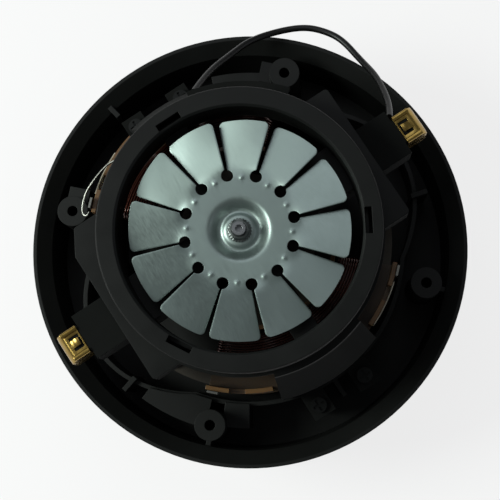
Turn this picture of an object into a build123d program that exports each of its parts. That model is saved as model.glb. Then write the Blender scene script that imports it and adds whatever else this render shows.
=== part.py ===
from build123d import *
import math
import os

# Vacuum motor unit: a two-pole brushed motor standing in a round blower housing.
# Z runs up the shaft towards the cooling fan, X runs along the two brushes.
# The origin is on the shaft's axis, in the plane that the housing stands on.

os.makedirs("parts", exist_ok=True)

# Fits and one overrun for every cut
overrun = 2.0
bearing_fit = 0.02
screw_gap = 0.05
seat_gap = 0.2
air_gap = 0.5
running_gap = 0.3

# Laminated stator, which the pieces round it follow
stack_bottom = 46.0
stack_height = 32.0
stack_radius = 57.0
flat_inset = 3.0
back_iron = 6.5
pole_half_angle = 26.0
tip_half_angle = 62.0
tip_thickness = 5.5
stator_screw_angle = 25.0
post_radius = 3.8
stack_flat = stack_radius - flat_inset
window_radius = stack_radius - back_iron
stack_top = stack_bottom + stack_height
stack_middle = (stack_bottom + stack_top) / 2

# Field bobbins and coils, one over each pole
bobbin_overhang = 2.0
bobbin_wall = 1.6
bobbin_half_angle = 47.0
bobbin_height = 14.0
leg_gap = 2.2
liner_angle = 1.4
liner_gap_angle = 0.2
cut_angle = 1.0
coil_inset = 3.3
coil_depth = 9.6
tab_inset = 3.6
core_half_angle = 46.0
core_end = 10.0
core_fillet = 3.0
notch_half_angle = 3.0
notch_depth = 5.0
notch_shares = (-0.75, -0.25, 0.25, 0.75)
wire_radius = 0.7
wire_pitch = 2.0
top_turns = 5
side_turns = 4
arc_steps = 6
turn_radius = 3.2
wire_lift = 0.3
corner_share = 0.45
first_pole = 90
self_gap_reach = 9.0
bobbin_radius = stack_radius + bobbin_overhang
core_outer_radius = window_radius - coil_inset
core_inner_radius = core_outer_radius - coil_depth
bobbin_inner_radius = core_inner_radius - tab_inset
core_half_height = stack_height / 2 + core_end

# Blower housing
cup_gap = 3.0
cup_radius = bobbin_radius + cup_gap
foot_step = 22.0
foot_radius = cup_radius + foot_step
housing_wall = 3.0
rim_step = 4.5
rim_radius = foot_radius + rim_step
rim_height = 56.0
rim_lip = 6.0
rim_flare = 2.0
rim_edge = 1.4
rim_band = 7.0
rim_drop = 4.5
well_inset = 7.9
well_radius = rim_radius - well_inset
deck_bottom = 22.0
deck_thickness = 3.0
deck_hole_radius = 8.0
deck_top = deck_bottom + deck_thickness
lobe_bulge = 11.5
lobe_narrowing = 12.0
lobe_reach = cup_radius + lobe_bulge
lobe_half_width = cup_radius - lobe_narrowing
cup_wall = 1.8
cup_height = 47.0
window_count = 24
window_width = 10.0
window_bottom = 8.0
window_top = 19.0

# Four mounting bosses on a square
boss_gap = 10.832
boss_circle = cup_radius + boss_gap
boss_radius = 6.2
boss_top = 62.0
boss_hole_radius = 2.1
boss_hole_depth = 22.0
rib_thickness = 2.0
rib_height = 50.0
boss_angles = [45, 135, 225, 315]
web_height = 57.0
block_size = 8.5

# Shelves beside the bosses, and plain ribs on the wall and the rim
high_shelf_angles = (53, 69)
low_shelf_angles = (201, 223)
short_shelf_angles = (228, 237)
shelf_overhang = 2.0
pole_rib_reach = 9.2
side_rib_angles = [195, 345]
side_rib_start = 8.0
side_rib_end = 15.0
rim_rib_angle = 101
rim_rib_reach = 2.6
rim_rib_drop = 2.8

# Cover under the impeller
cover_bottom = 2.0
cover_thickness = 3.0
cover_gap = 0.4
inlet_radius = 19.0
inlet_wall = 1.6
inlet_collar = 2.4
cover_screw_inset = 9.0
cover_screw_circle = foot_radius - cover_screw_inset
cover_screw_count = 6
cover_post_radius = 4.0
seal_radius = 28.0
seal_width = 6.0
cover_top = cover_bottom + cover_thickness

# Screws
small_shank = 1.5
small_head = 3.2
small_head_height = 1.7
small_length = 14.0
stator_shank = 2.0
stator_head = 3.6
stator_head_height = 2.6
stator_screw_depth = 12.0
driver_half_width = 0.5
driver_depth = 0.8

# Armature on its shaft
armature_share = 7 / 19
armature_radius = stack_radius * armature_share
shaft_radius = 4.0
shaft_bottom = 11.0
shaft_top = 117.0
thread_radius = 2.5
centre_hole_radius = 1.3
centre_hole_depth = 2.5
slot_count = 12
slot_width = 3.0
slot_mouth = 1.6
slot_floor_radius = 12.0
tooth_tip = 1.6
head_inset = 2.5
head_radius = armature_radius - head_inset
head_inner_radius = 8.0
upper_head_height = 6.0
lower_head_height = 8.0
commutator_radius = 11.5
commutator_bottom = 86.0
commutator_top = 98.3
bar_count = 24
bar_gap = 0.5
hub_radius = 8.1
bore_radius = armature_radius + air_gap

# Bearings, 8 x 22 x 7
bearing_radius = 11.0
bearing_bore = 4.0
bearing_width = 7.0
outer_race_wall = 1.9
inner_race_wall = 2.0
ball_radius = 1.95
ball_count = 7
race_gap = 0.1
upper_bearing_bottom = 101.0
lower_bearing_bottom = deck_top
bearing_wall = 2.8

# Top frame: ring, wings, legs, brush boxes and bearing cup
ring_radius = 52.0
ring_inner_radius = 44.8
ring_top = 118.0
ring_bottom = 103.0
ring_wall = 2.2
ring_roof = 2.5
ring_bevel = 0.8
skirt_radius = 53.2
skirt_bottom = 99.0
skirt_top = 104.0
slot_circle = 46.7
roof_slot_length = 9.6
roof_slot_width = 2.6
roof_slot_angles = [90, 210, 330]
wing_reach = 56.4
wing_half_width = 28.0
wing_long_reach = 36.0
wing_cut_reach = 51.0
wing_top = 104.0
wing_bottom = 93.0
wing_wall = 2.2
wing_corner = 1.5
frame_leg_gap = 1.4
leg_radius = bobbin_radius + frame_leg_gap
leg_wall = 2.5
leg_lip = 1.4
leg_rise = 3.0
leg_bend = stack_top + leg_rise
rear_leg_angle = 12.0
front_leg_angle = 20.0
leg_side_angle = 2.0
shade_angle = 39.0
shade_overhang = 0.4
shade_drop = 4.5
shade_height = 2.0
foot_top = 53.0
foot_bottom = 50.0
foot_length = 13.1
foot_reach = leg_radius + foot_length
foot_half_width = 15.5
foot_split = 6.0
foot_screw_x = 11.0
foot_screw_step = 8.1
foot_screw_y = leg_radius + foot_screw_step
foot_post_radius = 3.6
spider_half_width = 5.0
spider_top = 106.0
cup_top = 108.5
cup_floor = 1.8

# Brush gear along X
brush_axis = 92.3
box_overhang = 15.0
box_reach = cup_radius + box_overhang
box_inner_end = 18.0
box_half_width = 9.3
box_height = 15.0
box_neck = 7.0
box_neck_half_width = 4.9
tube_wall = 0.8
tube_inner_end = 14.0
tube_inset = 1.0
tube_outer_end = box_reach - tube_inset
brush_width = 6.2
brush_height = 11.0
brush_length = 28.0
brush_gap = 0.1
spring_radius = 2.8
spring_wire = 0.5
spring_inset = 2.0
spring_end = box_reach - spring_inset
clip_step = 2.6
clip_reach = box_reach + clip_step
clip_wall = 0.8
clip_half_width = 5.8
clip_length = 9.0
clip_height = 14.0
clip_tongue = 5.0
clip_tongue_width = 3.2

# Cooling fan pressed from sheet
fan_top = 113.0
fan_sheet = 0.8
fan_radius = 40.6
blade_count = 12
fan_hole_radius = 2.2
fan_hole_circle = 20.4
fan_hole_angle = -20.4
blade_pitch = 11.0
fan_slot_root = 0.5
fan_slot_tip = 2.2
blade_corner = 1.8
hub_step_radius = 11.3
hub_floor_radius = 6.8
hub_depth = 3.0
hub_seat_radius = 4.8
hub_seat_foot = 6.0
hub_seat_height = 1.2
fan_nut_flats = 7.0
fan_nut_height = 2.8

# Impeller in the blower chamber
impeller_inset = 22.0
impeller_radius = foot_radius - impeller_inset
impeller_eye = 20.0
impeller_sheet = 1.2
impeller_top = 18.8
impeller_bottom = 8.0
vane_count = 8
vane_thickness = 0.9
vane_inner_radius = 23.0
vane_curve_radius = 34.0
spacer_radius = 6.5
washer_radius = 9.0
washer_thickness = 1.2
impeller_nut_flats = 13.0
impeller_nut_height = 5.0

# Leads and terminals
lead_diameter = 2.6
bare_diameter = 0.8
terminal_thickness = 0.8
terminal_width = 4.0
terminal_rise = 5.0
film_thickness = 0.4
film_end_angle = 7.0
film_height = 13.0


def ring(outer, inner, bottom, top):
    face = Circle(outer) - Circle(inner) if inner > 0 else Circle(outer)
    return Pos(0, 0, bottom) * extrude(face, amount=top - bottom)


def rod(x, y, radius, bottom, top):
    return Pos(x, y, bottom) * extrude(Circle(radius), amount=top - bottom)


def block(x_low, x_high, y_low, y_high, z_low, z_high):
    middle = ((x_low + x_high) / 2, (y_low + y_high) / 2, (z_low + z_high) / 2)
    return Pos(*middle) * Box(x_high - x_low, y_high - y_low, z_high - z_low)


def turned(solid, angle):
    return Rot(0, 0, angle) * solid


def polar(radius, angle, z=0.0):
    return (radius * math.cos(math.radians(angle)), radius * math.sin(math.radians(angle)), z)


def sector(inner, outer, start, end, bottom, top):
    # A slice of a ring between two angles, in degrees from +X
    corners = [polar(inner, start)[:2], polar(outer, start)[:2]]
    middle = (start + end) / 2
    edge = Line(corners[0], corners[1])
    far = ThreePointArc(corners[1], polar(outer, middle)[:2], polar(outer, end)[:2])
    back = Line(polar(outer, end)[:2], polar(inner, end)[:2])
    near = ThreePointArc(polar(inner, end)[:2], polar(inner, middle)[:2], corners[0])
    face = make_face(Curve() + [edge, far, back, near])
    return Pos(0, 0, bottom) * extrude(face, amount=top - bottom)


def write(solid, name):
    export_step(solid, "parts/" + name + ".step")


def group(solids):
    return Compound(children=list(solids))


def screw(x, y, seat, head, head_height, shank, length, up):
    # A pan head on its seat and a shank; up says which way the head faces
    if up:
        body = rod(x, y, shank, seat - length, seat) + rod(x, y, head, seat, seat + head_height)
        slot_low = seat + head_height - driver_depth
        slot_high = seat + head_height + overrun
    else:
        body = rod(x, y, shank, seat, seat + length) + rod(x, y, head, seat - head_height, seat)
        slot_low = seat - head_height - overrun
        slot_high = seat - head_height + driver_depth
    arm = head - driver_depth
    body -= block(x - arm, x + arm, y - driver_half_width, y + driver_half_width, slot_low, slot_high)
    body -= block(x - driver_half_width, x + driver_half_width, y - arm, y + arm, slot_low, slot_high)
    return body


# Places that several pieces share
boss_places = [polar(boss_circle, angle)[:2] for angle in boss_angles]
cover_screw_places = [
    polar(cover_screw_circle, 360 * n / cover_screw_count)[:2] for n in range(cover_screw_count)
]
stator_screw_circle = window_radius + back_iron / 2
stator_screw_places = [
    polar(stator_screw_circle, angle)[:2]
    for angle in (
        stator_screw_angle,
        180 - stator_screw_angle,
        180 + stator_screw_angle,
        -stator_screw_angle,
    )
]
foot_screw_places = [
    (sx * foot_screw_x, sy * foot_screw_y) for sx in (-1, 1) for sy in (-1, 1)
]


def cup_outline(grow):
    # The wall round the motor: a circle with a lobe at each brush
    return Circle(cup_radius + grow) + Ellipse(lobe_reach + grow, lobe_half_width + grow)


def make_base_housing():
    section = [
        (foot_radius - housing_wall, 0),
        (foot_radius, 0),
        (rim_radius - rim_flare, rim_height - rim_lip - rim_flare),
        (rim_radius, rim_height - rim_lip),
        (rim_radius, rim_height),
        (rim_radius - rim_edge, rim_height),
        (rim_radius - rim_band, rim_height - rim_drop),
        (well_radius, deck_top),
        (deck_hole_radius, deck_top),
        (deck_hole_radius, deck_bottom),
        (foot_radius - housing_wall, deck_bottom),
    ]
    face = make_face(Polyline([(r, 0, z) for r, z in section], close=True))
    solid = revolve(face, Axis.Z)
    solid += Pos(0, 0, deck_bottom) * extrude(
        cup_outline(cup_wall) - cup_outline(0), amount=cup_height - deck_bottom
    )
    seat_radius = bearing_radius + bearing_fit
    solid += ring(seat_radius + bearing_wall, seat_radius, deck_bottom, lower_bearing_bottom + bearing_width)
    rib_end = foot_radius - housing_wall / 2
    for angle, place in zip(boss_angles, boss_places):
        solid += rod(*place, boss_radius, deck_bottom, boss_top)
        solid += turned(
            block(boss_circle, rib_end, -rib_thickness / 2, rib_thickness / 2, deck_bottom, rib_height),
            angle,
        )
    for side, first in ((1, boss_angles[0]), (-1, boss_angles[1])):
        corner = block(
            boss_circle - block_size / 2,
            boss_circle + block_size / 2,
            min(0, side * (boss_radius + block_size / 2)),
            max(0, side * (boss_radius + block_size / 2)),
            deck_bottom,
            web_height,
        )
        solid += turned(corner, first)
    for angles, overhang, top in (
        (high_shelf_angles, 0, web_height),
        (low_shelf_angles, shelf_overhang, rib_height),
        (short_shelf_angles, 0, rib_height),
    ):
        shelf = sector(cup_radius + cup_wall / 2, boss_circle + overhang, *angles, deck_bottom, top)
        solid += shelf - Pos(0, 0, deck_bottom) * extrude(cup_outline(cup_wall / 2), amount=top)
    half_rib = rib_thickness / 2
    for side in (90, 270):
        rib = block(cup_radius, cup_radius + pole_rib_reach, -half_rib, half_rib, deck_bottom, cup_height)
        solid += turned(rib, side)
    for angle in side_rib_angles:
        reach = (cup_radius + side_rib_start, cup_radius + side_rib_end)
        solid += turned(block(*reach, -half_rib, half_rib, deck_bottom, rib_height), angle)
    rim_rib = block(
        well_radius - rim_rib_reach,
        rim_radius - rim_band + rim_rib_reach,
        -half_rib,
        half_rib,
        deck_bottom,
        rim_height - rim_rib_drop,
    )
    solid += turned(rim_rib, rim_rib_angle)
    for place in stator_screw_places:
        solid += rod(*place, post_radius, deck_bottom, stack_bottom)
    for x, y in foot_screw_places:
        solid += rod(x, y, foot_post_radius, deck_bottom, foot_bottom)
        solid += block(
            x - rib_thickness / 2,
            x + rib_thickness / 2,
            min(y, math.copysign(cup_radius, y)),
            max(y, math.copysign(cup_radius, y)),
            deck_bottom,
            cup_height,
        )
    for place in cover_screw_places:
        solid += rod(*place, cover_post_radius, cover_top, deck_bottom)
    for x, y in boss_places:
        solid -= rod(x, y, boss_hole_radius, boss_top - boss_hole_depth, boss_top + overrun)
    for place in stator_screw_places:
        solid -= rod(
            *place,
            stator_shank + screw_gap,
            stack_bottom - stator_screw_depth - seat_gap,
            stack_bottom + overrun,
        )
    for place in foot_screw_places:
        solid -= rod(
            *place,
            small_shank + screw_gap,
            foot_top - small_length - seat_gap,
            foot_bottom + overrun,
        )
    for place in cover_screw_places:
        solid -= rod(
            *place,
            small_shank + screw_gap,
            cover_top - overrun,
            cover_bottom + small_length + seat_gap,
        )
    for n in range(window_count):
        solid -= turned(
            block(
                foot_radius - housing_wall - overrun,
                rim_radius + overrun,
                -window_width / 2,
                window_width / 2,
                window_bottom,
                window_top,
            ),
            360 * (n + 1 / 2) / window_count,
        )
    return solid


def make_blower_cover():
    cover_radius = foot_radius - housing_wall - cover_gap
    solid = ring(cover_radius, inlet_radius, cover_bottom, cover_top)
    solid += ring(inlet_radius + inlet_wall, inlet_radius, cover_bottom, cover_top + inlet_collar)
    for place in cover_screw_places:
        solid -= rod(*place, small_shank + screw_gap, cover_bottom - overrun, cover_top + overrun)
    return solid


def make_screws(places, seat, up, kind):
    if kind == "small":
        sizes = (small_head, small_head_height, small_shank, small_length)
    else:
        sizes = (stator_head, stator_head_height, stator_shank, stack_height + stator_screw_depth)
    return group(screw(x, y, seat, *sizes, up) for x, y in places)


def make_stator_core():
    solid = ring(stack_radius, bore_radius, stack_bottom, stack_top)
    solid &= block(
        -stack_flat, stack_flat, -stack_radius, stack_radius, stack_bottom, stack_top
    )
    low, high = stack_bottom - overrun, stack_top + overrun
    for pole in (90, 270):
        for side in (-1, 1):
            start = pole + side * pole_half_angle
            end = pole + side * 90
            solid -= sector(
                bore_radius + tip_thickness, window_radius, min(start, end), max(start, end), low, high
            )
            start = pole + side * tip_half_angle
            solid -= sector(
                bore_radius - overrun,
                bore_radius + tip_thickness + overrun,
                min(start, end),
                max(start, end),
                low,
                high,
            )
    for place in stator_screw_places:
        solid -= rod(*place, stator_shank + screw_gap, low, high)
    return solid


def make_bobbin(pole, leg_angle):
    # Floor, outer wall with its windows and inner tabs at each end, joined by two slot liners
    half = bobbin_half_angle
    solid = None
    for sign, face_z in ((1, stack_top), (-1, stack_bottom)):
        near = face_z + sign * seat_gap
        floor = near + sign * bobbin_wall
        far = near + sign * bobbin_height
        piece = sector(
            bobbin_inner_radius, bobbin_radius, pole - half, pole + half, min(near, floor), max(near, floor)
        )
        piece += sector(
            bobbin_radius - bobbin_wall, bobbin_radius, pole - half, pole + half, min(near, far), max(near, far)
        )
        piece += sector(
            bobbin_inner_radius,
            bobbin_inner_radius + bobbin_wall,
            pole - half,
            pole + half,
            min(near, far),
            max(near, far),
        )
        for side in (-1, 1):
            start = pole + side * (pole_half_angle + liner_angle)
            end = pole + side * (half + cut_angle)
            piece -= sector(
                core_inner_radius - leg_gap,
                core_outer_radius + leg_gap,
                min(start, end),
                max(start, end),
                min(near, floor) - seat_gap,
                max(near, floor) + seat_gap,
            )
        notch = far - sign * notch_depth
        for share in notch_shares:
            centre = pole + share * half
            piece -= sector(
                bobbin_inner_radius - overrun,
                bobbin_radius + overrun,
                centre - notch_half_angle,
                centre + notch_half_angle,
                min(notch, far + sign * overrun),
                max(notch, far + sign * overrun),
            )
        solid = piece if solid is None else solid + piece
    # The wall is open where the frame's leg passes over the upper end
    solid -= sector(
        bobbin_radius - bobbin_wall - overrun,
        bobbin_radius + overrun,
        pole - leg_angle - leg_side_angle,
        pole + leg_angle + leg_side_angle,
        stack_top + seat_gap + bobbin_wall,
        stack_top + bobbin_height + overrun,
    )
    for side in (-1, 1):
        start = pole + side * (pole_half_angle + liner_gap_angle)
        end = start + side * liner_angle
        solid += sector(
            bobbin_inner_radius,
            core_outer_radius,
            min(start, end),
            max(start, end),
            stack_bottom - seat_gap,
            stack_top + seat_gap,
        )
    return solid


def make_coil(pole):
    # The bundle of turns under its outer layer
    low = stack_middle - core_half_height
    high = stack_middle + core_half_height
    solid = sector(
        core_inner_radius, core_outer_radius, pole - core_half_angle, pole + core_half_angle, low, high
    )
    inner_angle = pole_half_angle + liner_gap_angle + liner_angle + liner_gap_angle
    inner_half = stack_height / 2 + seat_gap + bobbin_wall + seat_gap
    solid -= sector(
        core_inner_radius - overrun,
        core_outer_radius + overrun,
        pole - inner_angle,
        pole + inner_angle,
        stack_middle - inner_half,
        stack_middle + inner_half,
    )
    def at_corner(edge):
        middle = edge @ (1 / 2)
        outer = abs(radius_of(middle) - core_outer_radius) < seat_gap
        end = abs(abs(middle.Z - stack_middle) - core_half_height) < seat_gap
        angle = math.degrees(math.atan2(middle.Y, middle.X)) % 360
        side = abs(abs(angle - pole) - core_half_angle) < liner_gap_angle
        return outer + end + side > 1

    return fillet(solid.edges().filter_by(at_corner), core_fillet)


def radius_of(point):
    return math.hypot(point.X, point.Y)


def winding_turns():
    # Radius, half angle and half height of each turn: first across the end, then down the outer face
    lift = wire_lift + wire_radius
    side_angle = math.degrees(lift / core_outer_radius)
    turns = []
    first = core_inner_radius + wire_radius
    for n in range(top_turns):
        turns.append((first + n * wire_pitch, core_half_angle + side_angle, core_half_height + lift))
    step_angle = math.degrees(wire_pitch / core_outer_radius)
    for n in range(side_turns):
        turns.append(
            (
                core_outer_radius + lift,
                core_half_angle - (n + 1 / 2) * step_angle,
                core_half_height - (n + 1 / 2) * wire_pitch,
            )
        )
    return turns


def end_arc(radius, half, z, direction):
    # Corners of one end run, on a polygon round the arc
    step = 2 * half / arc_steps
    stretch = 1 / math.cos(math.radians(step / 2))
    points = []
    for n in range(arc_steps + 1):
        angle = direction * (half - n * step)
        reach = radius if n in (0, arc_steps) else radius * stretch
        points.append((reach, angle, z))
    return points


def winding_route(pole):
    # It starts above the coil at one side and leaves under it at the other
    turns = winding_turns()
    radius, half, height = turns[0]
    route = [(radius, half, stack_middle + height + turn_radius)]
    for n, (radius, half, height) in enumerate(turns):
        route += end_arc(radius, half, stack_middle - height, 1)
        if n + 1 < len(turns):
            radius, half, height = turns[n + 1]
            route += end_arc(radius, half, stack_middle + height, -1)
    route.append((bobbin_radius - bobbin_wall - seat_gap, -half, stack_middle - height))
    return [polar(radius, pole + angle, z) for radius, angle, z in route]


def corner_radii(points, share):
    radii = []
    for before, here, after in zip(points, points[1:], points[2:]):
        into = Vector(*here) - Vector(*before)
        out = Vector(*after) - Vector(*here)
        turn = math.radians(into.get_angle(out))
        radii.append(share * min(into.length, out.length) / math.tan(turn / 2))
    return radii


def tube_along(points, radii, radius):
    path = FilletPolyline(*points, radius=radii)
    start = Plane(origin=path @ 0, z_dir=path % 0)
    return sweep(start * Circle(radius), path=path), path


def least_self_gap(path, diameter, apart):
    # The least clear distance between points of the line that lie further apart along it
    spots = []
    travelled = 0.0
    for edge in path.order_edges():
        steps = math.ceil(edge.length / diameter)
        for n in range(steps):
            spot = edge @ (n / steps)
            spots.append((travelled + edge.length * n / steps, (spot.X, spot.Y, spot.Z)))
        travelled += edge.length
    least = travelled
    for n, (here, spot) in enumerate(spots):
        for there, other in spots[n + 1:]:
            if there - here > apart:
                least = min(least, math.dist(spot, other))
    return least - diameter


def make_winding():
    points = winding_route(first_pole)
    radii = [min(radius, turn_radius) if radius < core_inner_radius / 2 else radius
             for radius in corner_radii(points, corner_share)]
    solid, path = tube_along(points, radii, wire_radius)
    ratio = solid.volume / (path.length * math.pi * wire_radius ** 2)
    gap = least_self_gap(path, 2 * wire_radius, self_gap_reach)
    print("field winding length", round(path.length, 1), "volume share", round(ratio, 4))
    print("field winding turns", top_turns + side_turns, "least gap to itself", round(gap, 2))
    return solid


def make_top_frame():
    # The ring round the fan is an upturned channel with three slots in its roof
    section = [
        (ring_inner_radius, ring_bottom),
        (ring_inner_radius, ring_top - ring_bevel),
        (ring_inner_radius + ring_bevel, ring_top),
        (ring_radius - ring_bevel / 2, ring_top),
        (ring_radius, ring_top - ring_bevel / 2),
        (ring_radius, ring_bottom),
        (ring_radius - ring_wall, ring_bottom),
        (ring_radius - ring_wall, ring_top - ring_roof),
        (ring_inner_radius + ring_wall, ring_top - ring_roof),
        (ring_inner_radius + ring_wall, ring_bottom),
    ]
    solid = revolve(make_face(Polyline([(r, 0, z) for r, z in section], close=True)), Axis.Z)
    solid += ring(skirt_radius, ring_inner_radius, skirt_top - ring_wall, skirt_top)
    solid += ring(skirt_radius, skirt_radius - ring_wall, skirt_bottom, skirt_top)
    solid += make_wings()
    solid += turned(make_leg(rear_leg_angle), 90)
    solid += turned(make_leg(front_leg_angle), 270)
    solid += make_shade()
    seat_radius = bearing_radius + bearing_fit
    cup_outer = seat_radius + bearing_wall
    solid += ring(cup_outer, bearing_bore + inner_race_wall + race_gap, upper_bearing_bottom - cup_floor, cup_top)
    for angle in (0, 90, 180, 270):
        half = box_half_width if angle % 180 == 0 else spider_half_width
        top = wing_top if angle % 180 == 0 else spider_top
        bottom = brush_axis + box_height / 2 if angle % 180 == 0 else upper_bearing_bottom
        arm = block(bearing_radius + bearing_wall / 2, ring_inner_radius + ring_wall / 2, -half, half, bottom, top)
        solid += turned(arm, angle)
    for side in (0, 180):
        solid += turned(make_box(), side)
    solid -= ring(seat_radius, 0, upper_bearing_bottom, cup_top + overrun)
    for side in (0, 180):
        solid -= turned(make_box_cavity(), side)
    for angle in roof_slot_angles:
        slot = block(
            slot_circle - roof_slot_width / 2,
            slot_circle + roof_slot_width / 2,
            -roof_slot_length / 2,
            roof_slot_length / 2,
            ring_top - ring_roof - overrun,
            ring_top + overrun,
        )
        solid -= turned(slot, angle)
    for place in foot_screw_places:
        solid -= rod(*place, small_shank + screw_gap, foot_bottom - overrun, foot_top + overrun)
    return solid


def make_leg(half):
    # It drops from the skirt, slopes out past the bobbin and ends in two screwed feet
    outer = leg_radius + leg_wall
    section = [
        (skirt_radius - ring_wall, skirt_top),
        (skirt_radius + leg_lip, skirt_top),
        (outer, leg_bend),
        (outer, foot_bottom),
        (leg_radius, foot_bottom),
        (leg_radius, leg_bend),
        (skirt_radius - ring_wall, skirt_bottom),
    ]
    face = make_face(Polyline([(r, 0, z) for r, z in section], close=True))
    leg = turned(revolve(face, Axis.Z, 2 * half), -half)
    feet = block(leg_radius, foot_reach, -foot_half_width, foot_half_width, foot_bottom, foot_top)
    feet -= block(
        outer, foot_reach + overrun, -foot_split, foot_split, foot_bottom - overrun, foot_top + overrun
    )
    feet -= ring(leg_radius, 0, foot_bottom - overrun, foot_top + overrun)
    return leg + feet


def make_shade():
    # A thin eave below the skirt that covers the coil beside the rear leg
    low = skirt_bottom - shade_drop
    end = 90 - rear_leg_angle
    inner = skirt_radius - ring_wall
    eave = sector(inner, bobbin_radius + shade_overhang, shade_angle, end, low, low + shade_height)
    return eave + sector(inner, skirt_radius, shade_angle, end, low, skirt_top)


def make_wings():
    # A hollow cap over each brush holder, one with a longer cut corner
    right = [
        (0, -wing_half_width),
        (wing_reach, -wing_half_width),
        (wing_reach, wing_half_width),
        (0, wing_half_width),
    ]
    left = [
        (0, -wing_half_width),
        (-wing_reach, -wing_half_width),
        (-wing_reach, wing_half_width - wing_corner),
        (-wing_cut_reach, wing_long_reach),
        (0, wing_long_reach),
    ]
    solid = None
    for outline in (right, left):
        face = make_face(Polyline(outline, close=True))
        outer = face.vertices().filter_by(lambda v: abs(v.X) > wing_cut_reach / 2)
        face = fillet(outer, wing_corner)
        cap = Pos(0, 0, wing_bottom) * extrude(face, amount=wing_top - wing_bottom)
        inside = offset(face, -wing_wall)
        cap -= Pos(0, 0, wing_bottom - overrun) * extrude(
            inside, amount=wing_top - wing_bottom - wing_wall + overrun
        )
        cap -= ring(skirt_radius - ring_wall, 0, wing_bottom - overrun, wing_top + overrun)
        solid = cap if solid is None else solid + cap
    return solid


def make_box():
    low = brush_axis - box_height / 2
    high = brush_axis + box_height / 2
    box = block(box_inner_end, box_reach - box_neck, -box_half_width, box_half_width, low, high)
    box += block(box_inner_end, box_reach, -box_neck_half_width, box_neck_half_width, low, high)
    lid = block(skirt_radius - ring_wall, box_reach - box_neck, -box_half_width, box_half_width, low, high)
    return box + lid


def make_box_cavity():
    half_width = brush_width / 2 + brush_gap + tube_wall + brush_gap
    half_height = brush_height / 2 + brush_gap + tube_wall + brush_gap
    return block(
        box_inner_end - overrun,
        box_reach + overrun,
        -half_width,
        half_width,
        brush_axis - half_height,
        brush_axis + half_height,
    )


def make_brush_tube():
    inner_y = brush_width / 2 + brush_gap
    inner_z = brush_height / 2 + brush_gap
    tube = block(
        tube_inner_end,
        tube_outer_end,
        -inner_y - tube_wall,
        inner_y + tube_wall,
        brush_axis - inner_z - tube_wall,
        brush_axis + inner_z + tube_wall,
    )
    return tube - block(
        tube_inner_end - overrun,
        tube_outer_end + overrun,
        -inner_y,
        inner_y,
        brush_axis - inner_z,
        brush_axis + inner_z,
    )


def make_brush():
    face = commutator_radius + running_gap
    brush = block(
        commutator_radius / 2,
        face + brush_length,
        -brush_width / 2,
        brush_width / 2,
        brush_axis - brush_height / 2,
        brush_axis + brush_height / 2,
    )
    return brush - ring(face, 0, commutator_bottom - overrun, commutator_top + overrun)


def make_spring():
    start = commutator_radius + running_gap + brush_length + seat_gap
    spring = Circle(spring_radius) - Circle(spring_radius - spring_wire)
    return Pos(start, 0, brush_axis) * Rot(0, 90, 0) * extrude(spring, amount=spring_end - start)


def make_clip():
    # A brass channel round the neck of the brush box, closed at its outer end
    low = brush_axis - clip_height / 2
    high = brush_axis + clip_height / 2
    inner = clip_half_width - clip_wall
    clip = block(clip_reach - clip_wall, clip_reach, -clip_half_width, clip_half_width, low, high)
    for side in (-1, 1):
        clip += block(
            clip_reach - clip_length,
            clip_reach,
            min(side * inner, side * clip_half_width),
            max(side * inner, side * clip_half_width),
            low,
            high,
        )
    tongue_half = clip_tongue_width / 2
    tongue_low = brush_axis + box_height / 2 + seat_gap
    clip += block(
        clip_reach - clip_tongue, clip_reach, -tongue_half, tongue_half, tongue_low, tongue_low + clip_wall
    )
    clip += block(
        clip_reach - clip_wall, clip_reach, -tongue_half, tongue_half, high - clip_wall, tongue_low + clip_wall
    )
    return clip


def make_bearing(bottom):
    top = bottom + bearing_width
    middle = bottom + bearing_width / 2
    ball_circle = (bearing_bore + bearing_radius) / 2
    groove = Pos(0, 0, middle) * Torus(ball_circle, ball_radius + race_gap)
    outer = ring(bearing_radius, bearing_radius - outer_race_wall, bottom, top) - groove
    inner = ring(bearing_bore + inner_race_wall, bearing_bore + bearing_fit, bottom, top) - groove
    balls = [
        Pos(*polar(ball_circle, 360 * n / ball_count, middle)) * Sphere(ball_radius)
        for n in range(ball_count)
    ]
    return outer, inner, group(balls)


def make_shaft():
    top_journal = upper_bearing_bottom + bearing_width
    shaft = ring(shaft_radius, 0, shaft_bottom, top_journal)
    shaft += ring(thread_radius, 0, top_journal, shaft_top)
    shaft -= ring(centre_hole_radius, 0, shaft_top - centre_hole_depth, shaft_top + overrun)
    return shaft


def make_armature_core():
    core = ring(armature_radius, shaft_radius + bearing_fit, stack_bottom, stack_top)
    low, high = stack_bottom - overrun, stack_top + overrun
    for n in range(slot_count):
        body = block(
            slot_floor_radius, armature_radius - tooth_tip, -slot_width / 2, slot_width / 2, low, high
        )
        mouth = block(slot_floor_radius, armature_radius + overrun, -slot_mouth / 2, slot_mouth / 2, low, high)
        core -= turned(body + mouth, 360 * n / slot_count)
    return core


def make_armature_winding():
    # The wound slots and the rounded heads at both ends of the core
    winding = None
    upper = stack_top + seat_gap
    lower = stack_bottom - seat_gap
    for low, high in ((upper, upper + upper_head_height), (lower - lower_head_height, lower)):
        head = ring(head_radius, head_inner_radius, low, high)
        round_edges = head.edges().filter_by(GeomType.CIRCLE)
        head = fillet(round_edges, upper_head_height / 4)
        winding = head if winding is None else winding + head
    fill = slot_width / 2 - seat_gap
    for n in range(slot_count):
        bar = block(
            slot_floor_radius + seat_gap,
            armature_radius - tooth_tip - seat_gap,
            -fill,
            fill,
            lower - upper_head_height / 2,
            upper + upper_head_height / 2,
        )
        winding += turned(bar, 360 * n / slot_count)
    return winding


def make_commutator_hub():
    return ring(
        hub_radius - bar_gap / 4,
        shaft_radius + bearing_fit,
        stack_top + seat_gap + upper_head_height + seat_gap,
        commutator_top,
    )


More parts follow.
